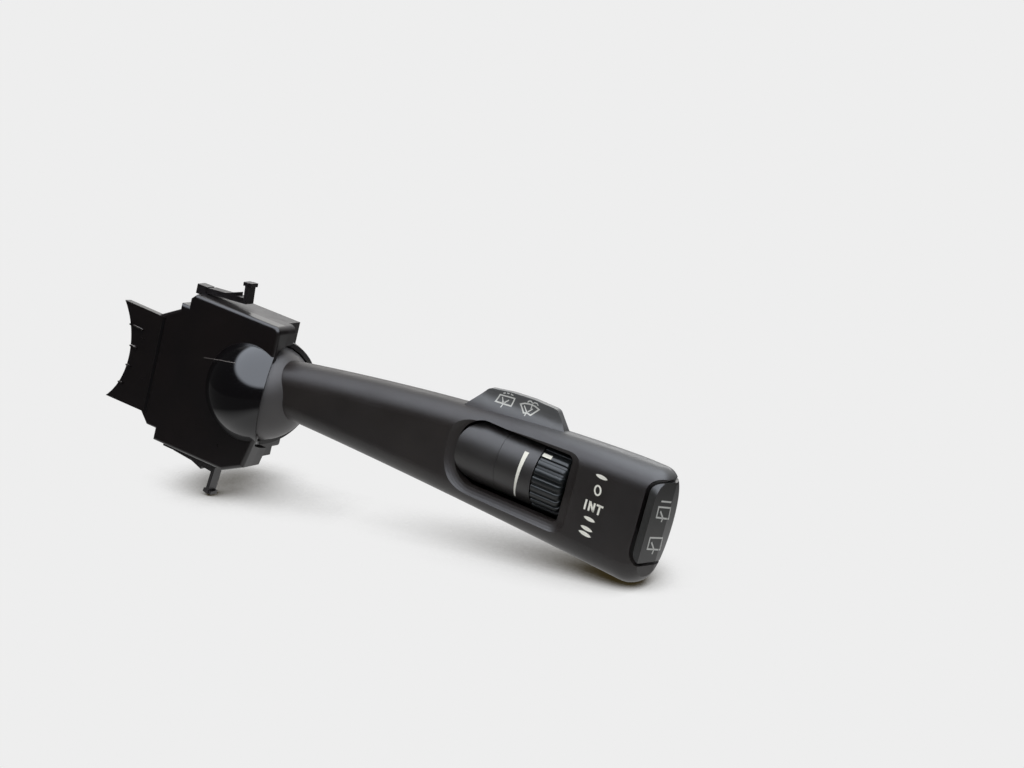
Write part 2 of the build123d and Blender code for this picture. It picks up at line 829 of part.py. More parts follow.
def rocker_outline(grow):
    half = (rocker_top - rocker_bottom) / 2 + grow
    x0 = rocker_start if grow == 0 else notch_start
    x1 = lever_tip + 5
    face = Pos((x0 + x1) / 2, rocker_middle) * Rectangle(x1 - x0, 2 * half)
    return fillet(face.vertices().sort_by(Axis.X)[:2], rocker_corner + grow)


def stem_slot():
    spread = rocker_stem_height / 2 + 1
    return block(cavity_end - 1, rocker_start, -rocker_stem_front - side_gap, rocker_stem_back + side_gap,
                 rocker_middle - spread, rocker_middle + spread)


def screw_boss_z(x):
    return (lever_top(x) + lever_bottom(x)) / 2


def lever_hull():
    """The whole lever as one closed form, tab included."""
    return (lever_solid(0, lever_start, lever_tip) & end_profile()) + tab_form()


def make_lever_shells():
    hull = lever_hull()
    cavity = lever_solid(lever_wall, lever_start, cavity_end)
    notch = front_prism(rocker_outline(rocker_end_gap), -far / 2, far / 2)
    front = hull & block(-far, far, -far, lever_parting, -far, far)
    rear = hull & block(-far, far, lever_parting, far, -far, far)
    collar = front_prism(pocket_outline(pocket_wall), -lever_front, -lever_front + pocket_depth) & front
    front = front - cavity + collar - pocket_cut() - notch - stem_slot()
    rear = rear - cavity - notch - stem_slot()
    inner_front = -lever_front + lever_wall
    for x in screw_stations:
        z = screw_boss_z(x)
        seat = lever_back(x) - screw_sink
        outer = screw_radius + boss_wall
        boss = rod("y", (x, inner_front - 0.3, z), lever_parting - inner_front + 0.3, outer)
        front += boss - rod("y", (x, screw_end - 0.5, z), far, screw_radius + pin_fit)
        inner_back = lever_back(x) - lever_wall + 0.3
        tube = rod("y", (x, lever_parting, z), inner_back - lever_parting, screw_head_radius + boss_wall)
        rear += tube
        rear -= rod("y", (x, -far / 2, z), far, screw_radius + 2 * pin_fit)
        rear -= rod("y", (x, seat, z), far, screw_head_radius + side_gap)
    boss_radius = rocker_pin_radius + boss_wall
    axis = (rocker_axis_x, rocker_middle)
    front_end = -rocker_stem_front - side_gap
    boss = rod("y", (axis[0], inner_front - 0.3, axis[1]), front_end - inner_front + 0.3, boss_radius)
    front += boss - rod("y", (axis[0], front_end - 1.2, axis[1]), 5, rocker_pin_radius + pin_fit)
    back_start = rocker_stem_back + side_gap
    inner_back = lever_back(axis[0]) - lever_wall + 0.3
    boss = rod("y", (axis[0], back_start, axis[1]), inner_back - back_start, boss_radius)
    rear += boss - rod("y", (axis[0], back_start - 1, axis[1]), 3, rocker_pin_radius + pin_fit)
    for x in (insert_start + insert_length / 2, drum_start + drum_length / 2):
        rear += block(x - 2, x + 2, drum_back + drum_gap, lever_back(x) - lever_wall + 0.3, dial_axis_z - 2, dial_axis_z + 2)
    rest_low = lever_board_top - lever_board_thickness
    for x in (lever_board_start + 3, lever_board_end - 6):
        rest = block(x, x + 1.2, lever_parting, lever_board_back, lever_bottom(x), rest_low)
        rear += rest & lever_solid(lever_wall / 2, lever_start, cavity_end)
    return front, rear


def make_dome():
    """The round boot that hides the lever's root inside the socket."""
    shell = ball(ball_radius) - ball(ball_radius - dome_wall)
    keep = Rot(0, -dome_tilt, 0) * block(dome_edge, far, -far, far, -far, far)
    shell = shell & keep
    swing = ball_radius * math.sin(math.radians(washer_swing))
    shell -= rod("y", (0, -far / 2, 0), far, gimbal_pin_radius + swing + side_gap)
    return shell - lever_solid(0, lever_start, lever_tip)


def make_lever_core():
    """The inner arm: hub on the upright pin, tail with the plunger's bore, and a root in the lever's neck."""
    body = block(-core_tail, neck_station + 1.5, -core_width / 2, core_width / 2, -core_height / 2, core_height / 2)
    body += rod("z", (0, 0, -core_height / 2), core_height, core_hub_radius)
    root = lever_solid(lever_wall + core_fit, lever_start + 0.5, core_reach + 4)
    root &= block(neck_station + 0.5, core_reach, -far, far, -far, far)
    root -= block(neck_station + 4, core_reach - 4, -far, far, dial_axis_z - core_height / 2 - 1,
                  dial_axis_z - 1)
    body += root
    body -= rod("z", (0, 0, -far / 2), far, cross_pin_radius + pin_fit)
    body += rod("z", (-washer_arm, 0, core_height / 2 - 0.2), washer_slider_height + 0.6, washer_pin_radius)
    body -= rod("x", (-core_tail - 1, 0, 0), spring_seat + core_tail + 1, plunger_radius + plunger_fit)
    shank = -plunger_reach + plunger_length + plunger_travel + 0.3
    return body - rod("x", (spring_seat - 1, 0, 0), shank - spring_seat + 1, plunger_shank_radius + plunger_fit)


# ---- rocker and lever electrics ----
def make_rocker():
    """The rear wiper's rocker, which closes the lever's end."""
    cap = (lever_solid(0, lever_start, lever_tip) & end_profile()) & front_prism(
        rocker_outline(0), -far / 2, far / 2)
    stem_half = rocker_stem_height / 2
    stem = block(rocker_axis_x, rocker_start + 0.5, -rocker_stem_front, rocker_stem_back,
                 rocker_middle - stem_half, rocker_middle + stem_half)
    stem += rod("y", (rocker_axis_x, -rocker_stem_front, rocker_middle),
                rocker_stem_front + rocker_stem_back, rocker_hub_radius)
    paddle = block(rocker_axis_x - 2.5, rocker_axis_x - 1, -2.5, 6.5,
                   rocker_middle - rocker_paddle / 2, rocker_middle + rocker_paddle / 2)
    body = cap + stem + paddle
    return body - rod("y", (rocker_axis_x, -far / 2, rocker_middle), far, rocker_pin_radius + pin_fit) \
        - block(rocker_axis_x - 2, rocker_axis_x + 2, -rocker_stem_front - 5, -rocker_stem_front, -far, far)


def make_rocker_pin():
    start = -rocker_stem_front - side_gap - 1
    return rod("y", (rocker_axis_x, start, rocker_middle), rocker_stem_back + 2 * side_gap + 1.6 - start,
               rocker_pin_radius)


def make_lever_board():
    return block(lever_board_start, lever_board_end, -lever_board_front, lever_board_back,
                 lever_board_top - lever_board_thickness, lever_board_top)


rocker_board_front = rocker_axis_x - 2.5 - 2.5


def make_rocker_board():
    return block(rocker_board_front - rocker_board_thickness, rocker_board_front, -2.5, lever_board_back,
                 lever_board_top, lever_board_top + rocker_board_height)


def make_rocker_pads():
    """Two rubber switch pads under the rocker's paddle."""
    reach = rocker_paddle / 2 - dome_pad_radius - 0.3
    length = 2.5 - 0.9
    return Compound([
        rod("x", (rocker_board_front, 2, rocker_middle + side * reach), length, dome_pad_radius)
        for side in (-1, 1)])


def make_screws():
    screws = []
    for x in screw_stations:
        z = screw_boss_z(x)
        seat = lever_back(x) - screw_sink
        screw = rod("y", (x, screw_end, z), seat - screw_end + 0.2, screw_radius)
        screw += rod("y", (x, seat, z), screw_head_height, screw_head_radius)
        screw -= rod("y", (x, seat + 0.6, z), screw_head_height, screw_radius)
        screws.append(screw)
    return Compound(screws)


# ---- build and export ----
front_shell, rear_shell = make_lever_shells()
pieces = {
    "front_cover": make_front_cover(),
    "base_shell": make_base_shell(),
    "upper_latch_arm": make_latch_arm(1),
    "lower_latch_arm": make_latch_arm(-1),
    "connector_socket": make_connector(),
    "connector_pins": make_pins(),
    "contact_board": make_contact_board(),
    "speed_slider": make_speed_slider(),
    "speed_contact": make_speed_contact(),
    "gimbal": make_gimbal(),
    "washer_slider": make_washer_slider(),
    "cross_pin": make_cross_pin(),
    "detent_block": make_detent_block(),
    "detent_plunger": make_plunger(),
    "plunger_spring": make_plunger_spring(),
    "ball_dome": make_dome(),
    "lever_core": make_lever_core(),
    "lever_front_shell": front_shell,
    "lever_rear_shell": rear_shell,
    "drum_insert": make_drum_insert(),
    "marked_drum": make_marked_drum(),
    "interval_dial": make_dial(),
    "resistor_disc": make_resistor_disc(),
    "dial_wiper": make_dial_wiper(),
    "end_rocker": make_rocker(),
    "rocker_pin": make_rocker_pin(),
    "lever_board": make_lever_board(),
    "rocker_board": make_rocker_board(),
    "rocker_pads": make_rocker_pads(),
    "lever_screws": make_screws(),
}

to_origin = Pos(seat_to_pivot, -rear_depth - land_height, 0)
os.makedirs("parts", exist_ok=True)
for name, piece in pieces.items():
    export_step(to_origin * piece, f"parts/{name}.step")
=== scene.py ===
import bpy
import bmesh
import math
from mathutils import Matrix, Vector
from mathutils.bvhtree import BVHTree


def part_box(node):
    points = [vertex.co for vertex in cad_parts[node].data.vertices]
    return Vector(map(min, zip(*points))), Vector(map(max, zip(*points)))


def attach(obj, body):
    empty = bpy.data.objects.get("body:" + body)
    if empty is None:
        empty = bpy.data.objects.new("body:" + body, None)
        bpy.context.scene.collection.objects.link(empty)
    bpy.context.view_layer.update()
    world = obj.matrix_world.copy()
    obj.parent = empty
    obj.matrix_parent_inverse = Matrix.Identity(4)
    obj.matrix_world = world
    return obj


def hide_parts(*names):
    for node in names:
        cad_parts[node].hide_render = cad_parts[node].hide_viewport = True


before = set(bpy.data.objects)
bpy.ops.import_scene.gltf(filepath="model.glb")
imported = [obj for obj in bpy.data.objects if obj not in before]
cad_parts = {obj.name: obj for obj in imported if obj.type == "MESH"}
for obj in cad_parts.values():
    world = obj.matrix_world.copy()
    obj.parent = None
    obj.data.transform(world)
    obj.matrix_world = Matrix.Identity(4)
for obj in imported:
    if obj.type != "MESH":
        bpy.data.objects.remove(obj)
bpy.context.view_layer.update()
mm = 0.001
pivot = Vector((22.0, -12.0, 0.0)) * mm  # the ball joint's centre
print("frame loaded:", len(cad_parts), "nodes")


def addObject(name, data):
    made = bpy.data.objects.new(name, data)
    bpy.context.scene.collection.objects.link(made)
    return made


# camera: a long lens, a little above the stalk and rolled, because the stalk lies on its side
camera = {
    "lens": 70.3125,
    "sensor": 36.0,
    "nearest": 0.01,
    "farthest": 20.0,
    "place": (0.367342, -0.521638, 0.17441),
    "right": (0.835127, 0.4935, 0.242943),
    "up": (-0.329422, 0.095018, 0.93939),
    "back": (0.440505, -0.86454, 0.241922),
}
cameraData = bpy.data.cameras.new("camera")
cameraData.lens, cameraData.sensor_width = camera["lens"], camera["sensor"]
cameraData.clip_start, cameraData.clip_end = camera["nearest"], camera["farthest"]
cameraObject = addObject("camera", cameraData)
turn = Matrix((camera["right"], camera["up"], camera["back"])).transposed().to_4x4()
cameraObject.matrix_world = Matrix.Translation(camera["place"]) @ turn
bpy.context.scene.camera = cameraObject
print("camera placed")


class Val:
    # a socket that Python's operators work on, by adding Math nodes
    def __init__(self, maker, socket):
        self.maker, self.socket = maker, socket

    def calc(self, operation, other=None, swapped=False):
        first, second = (other, self) if swapped else (self, other)
        values = {0: first} if other is None else {0: first, 1: second}
        return self.maker.node("ShaderNodeMath", {"operation": operation}, values)

    def __mul__(self, other):
        return self.calc("MULTIPLY", other)

    def __sub__(self, other):
        return self.calc("SUBTRACT", other)

    def __rsub__(self, other):
        return self.calc("SUBTRACT", other, True)

    def __lt__(self, other):
        return self.calc("LESS_THAN", other)

    def __gt__(self, other):
        return self.calc("GREATER_THAN", other)

    __rmul__ = __mul__


class Finish:
    # the shader nodes of a new material or world
    def __init__(self, owner):
        owner.use_nodes = True
        self.owner, self.tree = owner, owner.node_tree
        self.tree.nodes.clear()

    def node(self, kind, settings=None, values=None, output=0):
        made = self.tree.nodes.new(kind)
        for key, value in (settings or {}).items():
            setattr(made, key, value)
        for key, value in (values or {}).items():
            if isinstance(value, Val):
                self.tree.links.new(value.socket, made.inputs[key])
            else:
                made.inputs[key].default_value = value
        return Val(self, made.outputs[output]) if made.outputs else None

    def place(self, scale):
        coords = self.node("ShaderNodeTexCoord", output="Object")
        return self.node("ShaderNodeMapping", values={"Vector": coords, "Scale": scale})

    def axis(self, name):
        coords = self.node("ShaderNodeTexCoord", output="Object")
        return self.node("ShaderNodeSeparateXYZ", values={"Vector": coords}, output=name)

    def path(self, name):
        return self.node("ShaderNodeLightPath", output=name)

    def noise(self, scale, detail, roughness, stretch=(1.0, 1.0, 1.0)):
        return self.node("ShaderNodeTexNoise", values={
            "Vector": self.place(stretch), "Scale": scale, "Detail": detail, "Roughness": roughness}, output="Fac")

    def mixColour(self, amount, first, second):
        # sockets 6 and 7 are the colour pair of a Mix node, and output 2 is its colour
        return self.node("ShaderNodeMix", {"data_type": "RGBA"}, {0: amount, 6: first, 7: second}, 2)

    def spread(self, value, low, high, outLow=0.0, outHigh=1.0):
        return self.node("ShaderNodeMapRange", values={
            "Value": value, "From Min": low, "From Max": high, "To Min": outLow, "To Max": outHigh})

    def bump(self, height, strength, distance):
        return self.node("ShaderNodeBump", values={"Height": height, "Strength": strength, "Distance": distance})

    def glow(self, colour, strength=1.0):
        return self.node("ShaderNodeEmission", values={"Color": colour, "Strength": strength})

    def blend(self, share, first, second):
        return self.node("ShaderNodeMixShader", values={0: share, 1: first, 2: second})

    def close(self, surface, output="ShaderNodeOutputMaterial"):
        self.node(output, values={"Surface": surface})
        return self.owner

    def closeSolid(self, values):
        return self.close(self.node("ShaderNodeBsdfPrincipled", values=values))


def rgba(red, green, blue):
    # screen colour, 0 to 255, as the linear colour that the shaders read
    parts = []
    for part in (red, green, blue):
        share = part / 255.0
        parts.append(share / 12.92 if share <= 0.04045 else ((share + 0.055) / 1.055) ** 2.4)
    return (*parts, 1.0)


# how the tone drifts, where hands have polished the surface and where dust lies
wear = {
    "grainNoise": (2.0, 0.6),  # detail and roughness of each noise
    "driftNoise": (3.0, 0.55),
    "polishNoise": (4.0, 0.6),
    "dustNoise": (5.0, 0.7),
    "driftFrom": 0.3,
    "driftTo": 0.7,
    "polishScale": 3.1,  # times the scale of the drift
    "polishFrom": 0.25,
    "polishTo": 0.75,
    "dustScale": 40,  # times the scale of the drift
    "dustFrom": 0.66,
    "dustTo": 0.78,
}
# a plastic has these values where its own entry gives no other
plasticLook = {"grainScale": 5200, "grain": 0.2, "grainDepth": 0.00003, "driftScale": 60, "dust": 0.08,
               "shine": 0.5}


def mouldedPlastic(name, changes):
    # mould grain, tone drift, polish and dust, and where the look asks for it a glossy front, a seam or a painted
    # highlight that lightens the top, with less roughness there
    look = {**plasticLook, **changes}
    finish = Finish(bpy.data.materials.new(name))
    grain = finish.noise(look["grainScale"], *wear["grainNoise"])
    drift = finish.noise(look["driftScale"], *wear["driftNoise"])
    polish = finish.noise(look["driftScale"] * wear["polishScale"], *wear["polishNoise"])
    colour = finish.mixColour(finish.spread(drift, wear["driftFrom"], wear["driftTo"]), look["dark"], look["light"])
    specks = finish.noise(look["driftScale"] * wear["dustScale"], *wear["dustNoise"])
    dust = finish.spread(specks, wear["dustFrom"], wear["dustTo"], 0.0, look["dust"])
    colour = finish.mixColour(dust, colour, look["dustColour"])
    rough = finish.spread(polish, wear["polishFrom"], wear["polishTo"], look["smooth"], look["rough"])
    relief = grain
    if "bulge" in look:
        bulge = look["bulge"]
        proud = finish.axis("Y") < bulge["front"]
        colour = finish.mixColour(proud, colour, bulge["colour"])
        rough = rough - proud * (look["smooth"] - bulge["smooth"])
        relief = grain * (1.0 - proud * bulge["grainLost"])
    if "seam" in look:
        seam = look["seam"]
        away = (finish.axis("Y") - seam["at"]).calc("ABSOLUTE")
        line = away < seam["half"]
        colour = finish.mixColour(line, colour, seam["colour"])
        relief = relief - line
    # painted highlight: the colour is lightened with height on the lever's top and its tab, standing in for light
    # from above; the polish value only lowers the roughness there
    if "paintedTopSheen" in look:
        paintedTopSheen = look["paintedTopSheen"]
        high = finish.spread(finish.axis("Z"), paintedTopSheen["from"], paintedTopSheen["to"])
        colour = finish.mixColour(high * paintedTopSheen["share"], colour, paintedTopSheen["colour"])
        rough = rough - high * paintedTopSheen["polish"]
    return finish.closeSolid({"Base Color": colour, "Roughness": rough, "Specular IOR Level": look["shine"],
                              "Normal": finish.bump(relief, look["grain"], look["grainDepth"])})


scratches = {
    "scale": 2600,
    "noise": (3.0, 0.6),
    "stretch": (1.0, 0.12, 1.0),
    "from": 0.3,
    "to": 0.7,
    "relief": 0.15,
    "depth": 0.00004,
}


def bareMetal(name, look):
    # drawn or turned metal with fine scratches
    finish = Finish(bpy.data.materials.new(name))
    scratch = finish.noise(scratches["scale"], *scratches["noise"], scratches["stretch"])
    tone = finish.mixColour(finish.spread(scratch, scratches["from"], scratches["to"]), look["dark"], look["light"])
    rough = finish.spread(scratch, scratches["from"], scratches["to"], look["smooth"], look["rough"])
    return finish.closeSolid({"Base Color": tone, "Roughness": rough, "Metallic": 1.0,
                              "Normal": finish.bump(scratch, scratches["relief"], scratches["depth"])})


plastics = {
    "housingPlastic": {"dark": rgba(12, 9, 10), "light": rgba(18, 13, 13), "smooth": 0.27, "rough": 0.31,
                       "grain": 0.16, "grainDepth": 0.00002, "driftScale": 55, "dust": 0.03,
                       "dustColour": rgba(60, 52, 50),
                       "bulge": {"front": -0.02115, "colour": rgba(12, 11, 13), "smooth": 0.08,
                                 "grainLost": 0.85}},
    "basePlastic": {"dark": rgba(15, 12, 13), "light": rgba(22, 18, 18), "smooth": 0.34, "rough": 0.46,
                    "grain": 0.25, "driftScale": 55, "dust": 0.12, "dustColour": rgba(86, 80, 78)},
    "connectorPlastic": {"dark": rgba(20, 20, 21), "light": rgba(28, 28, 29), "smooth": 0.36, "rough": 0.48,
                         "dust": 0.06, "dustColour": rgba(90, 90, 90)},
    "sliderPlastic": {"dark": rgba(206, 203, 194), "light": rgba(222, 219, 211), "smooth": 0.30, "rough": 0.42,
                      "grainScale": 4200, "grain": 0.1, "grainDepth": 0.00002, "driftScale": 70, "dust": 0.03,
                      "dustColour": rgba(150, 146, 138)},
    "domePlastic": {"dark": rgba(58, 56, 56), "light": rgba(66, 64, 64), "smooth": 0.42, "rough": 0.50,
                    "grainScale": 6400, "grain": 0.12, "grainDepth": 0.00002, "driftScale": 50, "dust": 0.05,
                    "dustColour": rgba(110, 110, 116), "shine": 0.45},
    "leverPlastic": {"dark": rgba(25, 22, 21), "light": rgba(32, 28, 26), "smooth": 0.38, "rough": 0.48,
                     "grainScale": 3600, "grain": 0.5, "grainDepth": 0.00005, "driftScale": 32, "dust": 0.10,
                     "dustColour": rgba(96, 94, 92), "shine": 0.45,
                     "seam": {"at": -0.010, "half": 0.00007, "colour": rgba(8, 8, 8)},
                     # painted highlight: the lever's top and tab are lightened across this band of height
                     "paintedTopSheen": {"from": 0.0225, "to": 0.0260, "share": 0.8, "colour": rgba(95, 96, 97),
                              "polish": 0.08}},
    "drumPlastic": {"dark": rgba(33, 31, 30), "light": rgba(41, 39, 38), "smooth": 0.36, "rough": 0.46,
                    "dustColour": rgba(110, 110, 112)},
    "dialPlastic": {"dark": rgba(19, 21, 22), "light": rgba(26, 29, 30), "smooth": 0.26, "rough": 0.36,
                    "grain": 0.15, "driftScale": 80, "dustColour": rgba(120, 124, 128), "shine": 0.38},
    "rockerPlastic": {"dark": rgba(38, 38, 37), "light": rgba(46, 46, 45), "smooth": 0.30, "rough": 0.38,
                      "grainScale": 4200, "grain": 0.45, "grainDepth": 0.00004,
                      "dustColour": rgba(110, 110, 110)},
    "boardLaminate": {"dark": rgba(30, 84, 52), "light": rgba(38, 98, 62), "smooth": 0.28, "rough": 0.36,
                      "grainScale": 1500, "dust": 0.04, "dustColour": rgba(120, 130, 122)},
    "padRubber": {"dark": rgba(112, 112, 110), "light": rgba(124, 124, 122), "smooth": 0.66, "rough": 0.78,
                  "grainScale": 3000, "grain": 0.3, "grainDepth": 0.00004, "dust": 0.05,
                  "dustColour": rgba(160, 160, 156), "shine": 0.35},
    "markPaint": {"dark": rgba(232, 231, 222), "light": rgba(240, 239, 230), "smooth": 0.50, "rough": 0.60,
                  "grainScale": 3600, "grain": 0.3, "driftScale": 200, "dust": 0.05,
                  "dustColour": rgba(180, 178, 168), "shine": 0.4},
    # colour of painted highlights drawn as thin lines on the cover's ridges
    "ridgeHighlightPaint": {"dark": rgba(88, 84, 82), "light": rgba(104, 100, 98), "smooth": 0.40, "rough": 0.50,
                   "grainScale": 3600, "grain": 0.1, "grainDepth": 0.00002, "driftScale": 200, "dust": 0.05,
                   "dustColour": rgba(120, 118, 116)},
    "symbolPaint": {"dark": rgba(196, 197, 194), "light": rgba(208, 209, 206), "smooth": 0.50, "rough": 0.60,
                    "grainScale": 3600, "grain": 0.3, "driftScale": 200, "dustColour": rgba(150, 150, 146),
                    "shine": 0.4},
}
metals = {
    "steel": {"dark": rgba(160, 162, 164), "light": rgba(188, 190, 192), "smooth": 0.26, "rough": 0.38},
    "tinnedBrass": {"dark": rgba(196, 190, 168), "light": rgba(216, 211, 192), "smooth": 0.24, "rough": 0.36},
    "brass": {"dark": rgba(196, 166, 96), "light": rgba(214, 186, 118), "smooth": 0.24, "rough": 0.34},
}
finishes = {name: mouldedPlastic(name, look) for name, look in plastics.items()}
finishes.update({name: bareMetal(name, look) for name, look in metals.items()})

nodeFinish = {
    "front_cover": "housingPlastic", "base_shell": "basePlastic", "upper_latch_arm": "basePlastic",
    "lower_latch_arm": "basePlastic", "connector_socket": "connectorPlastic", "connector_pins": "tinnedBrass",
    "contact_board": "boardLaminate", "speed_slider": "sliderPlastic", "speed_contact": "brass",
    "gimbal": "sliderPlastic", "washer_slider": "sliderPlastic", "cross_pin": "steel",
    "detent_block": "sliderPlastic", "detent_plunger": "sliderPlastic", "plunger_spring": "steel",
    "ball_dome": "domePlastic",
    "lever_core": "sliderPlastic", "lever_front_shell": "leverPlastic", "lever_rear_shell": "leverPlastic",
    "drum_insert": "drumPlastic", "marked_drum": "drumPlastic", "interval_dial": "dialPlastic",
    "resistor_disc": "boardLaminate", "dial_wiper": "brass", "end_rocker": "rockerPlastic", "rocker_pin": "steel",
    "lever_board": "boardLaminate", "rocker_board": "boardLaminate", "rocker_pads": "padRubber",
    "lever_screws": "steel",
}
for name, finishName in nodeFinish.items():
    shown = bpy.data.objects[name]
    shown.data.materials.clear()
    shown.data.materials.append(finishes[finishName])
print("finishes given to the moulded and metal parts")


def copiesTree():
    # sets a copy of one piece on every point, each turned a step further about X, and joins a plain body to them
    tree = bpy.data.node_groups.new("copiesOnPoints", "GeometryNodeTree")
    sockets = {}
    for label, kind in (("Points", "Geometry"), ("Piece", "Object"), ("Body", "Object"), ("Turn Step", "Float"),
                        ("Finish", "Material")):
        sockets[label] = tree.interface.new_socket(label, in_out="INPUT", socket_type="NodeSocket" + kind)
    tree.interface.new_socket("Geometry", in_out="OUTPUT", socket_type="NodeSocketGeometry")

    def add(kind, *links):
        made = tree.nodes.new(kind)
        for key, source in links:
            tree.links.new(source, made.inputs[key])
        return made

    given = add("NodeGroupInput").outputs
    piece = add("GeometryNodeObjectInfo", ("Object", given["Piece"])).outputs["Geometry"]
    body = add("GeometryNodeObjectInfo", ("Object", given["Body"])).outputs["Geometry"]
    index = add("GeometryNodeInputIndex").outputs[0]
    turned = add("ShaderNodeMath", (0, index), (1, given["Turn Step"]))
    turned.operation = "MULTIPLY"
    angles = add("ShaderNodeCombineXYZ", ("X", turned.outputs[0])).outputs[0]
    copies = add("GeometryNodeInstanceOnPoints", ("Points", given["Points"]), ("Instance", piece),
                 ("Rotation", angles)).outputs["Instances"]
    joined = add("GeometryNodeJoinGeometry", (0, copies), (0, body)).outputs[0]
    real = add("GeometryNodeRealizeInstances", ("Geometry", joined)).outputs[0]
    painted = add("GeometryNodeSetMaterial", ("Geometry", real), ("Material", given["Finish"])).outputs[0]
    add("NodeGroupOutput", (0, painted))
    return tree, sockets


copiesOnPoints, copiesInputs = copiesTree()


def meshObject(name, corners, faces):
    data = bpy.data.meshes.new(name)
    data.from_pydata(corners, [], faces)
    data.update()
    return addObject(name, data)


def gridFaces(rows, columns, wrap):
    # quads between rows of points, closed round each row where wrap is true
    quads = []
    for i in range(rows - 1):
        for j in range(columns if wrap else columns - 1):
            k = (j + 1) % columns
            quads.append((i * columns + j, i * columns + k, (i + 1) * columns + k, (i + 1) * columns + j))
    return quads


def smoothFaces(data):
    for face in data.polygons:
        face.use_smooth = True


weldDistance = 0.000001  # corners closer than this become one, in metres


def copiesPiece(name, points, piece, body, turnStep, crisp, finishName, bodyName, node):
    # runs the copies tree and keeps its result as a plain mesh in place of a CAD node, shaded smooth but for the
    # edges that are sharper than the crisp angle in degrees
    holder = meshObject(name + "Points", points, [])
    modifier = holder.modifiers.new("copies", "NODES")
    modifier.node_group = copiesOnPoints
    given = {"Piece": piece, "Body": body, "Turn Step": turnStep, "Finish": finishes[finishName]}
    for label, value in given.items():
        modifier[copiesInputs[label].identifier] = value
    holder.update_tag()
    bpy.context.view_layer.update()
    settled = holder.evaluated_get(bpy.context.evaluated_depsgraph_get())
    data = bpy.data.meshes.new_from_object(settled)
    data.name = name
    mesh = bmesh.new()
    mesh.from_mesh(data)
    bmesh.ops.remove_doubles(mesh, verts=mesh.verts, dist=weldDistance)
    bmesh.ops.recalc_face_normals(mesh, faces=mesh.faces)
    mesh.to_mesh(data)
    mesh.free()
    for helper in (holder, piece, body):
        if helper is not None:
            bpy.data.objects.remove(helper)
    smoothFaces(data)
    data.set_sharp_from_angle(angle=math.radians(crisp))
    made = addObject(name, data)
    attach(made, bodyName)
    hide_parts(node)


thumbwheel = {
    "ribs": 26,
    "ribHalf": 0.86,
    "ribRise": 0.62,
    "ribEdge": 0.24,
    "ribFlare": (0.12, 0.04),  # how far the rib widens at its root and at the foot of its rounded edge
    "ribFoot": 1.3,  # how far that foot lies below the crest, as a share of ribEdge
    "ribCorner": ((0.4, 0.35), (1.2, 0.0)),  # in from the flank and down from the crest, as shares of ribEdge
    "ribRoot": 0.15,  # how deep the root lies in the rim
    "ribChamfer": 0.12,
    "ribShoulder": 0.3,
    "endRound": 1.5,
    "roundSteps": 8,
    "bore": 3.15,
    "web": 2.6,
    "inner": 8.3,
    "turns": 104,
    "crisp": 38,
}


def makeThumbwheel(look):
    low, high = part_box("interval_dial")
    length, radius = (high.x - low.x) / mm, (high.z - low.z) / 2 / mm
    axis = Vector((low.x, (low.y + high.y) / 2, (low.z + high.z) / 2))
    roundness, steps = look["endRound"], look["roundSteps"]
    roundStart = length - roundness

    def drop(x):
        # how far the rim has dropped near the wheel's outer end
        over = max(0.0, x - roundStart)
        return roundness - math.sqrt(max(0.0, roundness ** 2 - over ** 2))

    rounded = [roundStart + roundness * math.sin(math.pi / 2 * i / steps) for i in range(steps + 1)]
    stations = [0.0, look["ribChamfer"], look["ribShoulder"]] + rounded
    half, rise, edge = look["ribHalf"], look["ribRise"], look["ribEdge"]
    rootFlare, footFlare = look["ribFlare"]
    flank = [(half + rootFlare, -look["ribRoot"]), (half + footFlare, rise - edge * look["ribFoot"])]
    flank += [(half - edge * inward, rise - edge * down) for inward, down in look["ribCorner"]]
    section = [(-across, height) for across, height in flank] + [(0.0, rise)] + flank[::-1]
    rim = radius - rise
    corners = []
    for x in stations:
        lost = drop(x) + (look["ribChamfer"] if x == 0.0 else 0.0)
        for across, height in section:
            reach = (rim + height - lost) * mm
            angle = across / radius
            corners.append((x * mm, -reach * math.cos(angle), reach * math.sin(angle)))
    count = len(section)
    faces = gridFaces(len(stations), count, False)
    faces += [tuple(range(count)), tuple(range((len(stations) - 1) * count, len(stations) * count))]
    rib = meshObject("ribPiece", corners, faces)

    turns = look["turns"]
    profile = [(0.0, look["bore"]), (0.0, rim)] + [(x, rim - drop(x)) for x in rounded]
    profile += [(length, look["inner"]), (look["web"], look["inner"]), (look["web"], look["bore"])]
    rings = []
    for x, reach in profile:
        for j in range(turns):
            angle = 2 * math.pi * j / turns
            rings.append((axis.x + x * mm, axis.y - reach * mm * math.cos(angle),
                          axis.z + reach * mm * math.sin(angle)))
    faces = gridFaces(len(profile), turns, True)
    last = (len(profile) - 1) * turns
    faces += [(last + j, last + (j + 1) % turns, (j + 1) % turns, j) for j in range(turns)]
    core = meshObject("wheelCore", rings, faces)
    copiesPiece("thumbwheel", [axis] * look["ribs"], rib, core, 2 * math.pi / look["ribs"], look["crisp"],
                "dialPlastic", "dial", "interval_dial")


caseScrew = {
    "lobes": 6,
    "recess": 1.15,
    "recessWave": 0.2,
    "recessDepth": 0.85,
    "recessFloor": 0.9,  # the recess at its floor and at its rounded mouth, as shares of its size further in
    "recessMouth": 1.06,
    "mouthDepth": 0.1,
    "crown": 0.025,
    "crownAt": 0.72,  # share of the head's radius
    "edge": 0.2,
    "edgeDrop": 0.02,
    "headHeight": 1.5,
    "shank": 1.1,
    "point": 0.8,
    "pointShare": 0.35,  # of the shank's radius
    "turns": 48,
    "crisp": 32,
    "split": 0.090,  # lies between the two screws along X, in metres
}


def screwPlaces(node, split):
    # the box of each screw in the node, as lowest and highest corner
    points = [v.co for v in bpy.data.objects[node].data.vertices]
    boxes = []
    for keep in ([p for p in points if p.x < split], [p for p in points if p.x >= split]):
        boxes.append((Vector([min(p[i] for p in keep) for i in range(3)]),
                      Vector([max(p[i] for p in keep) for i in range(3)])))
    return boxes


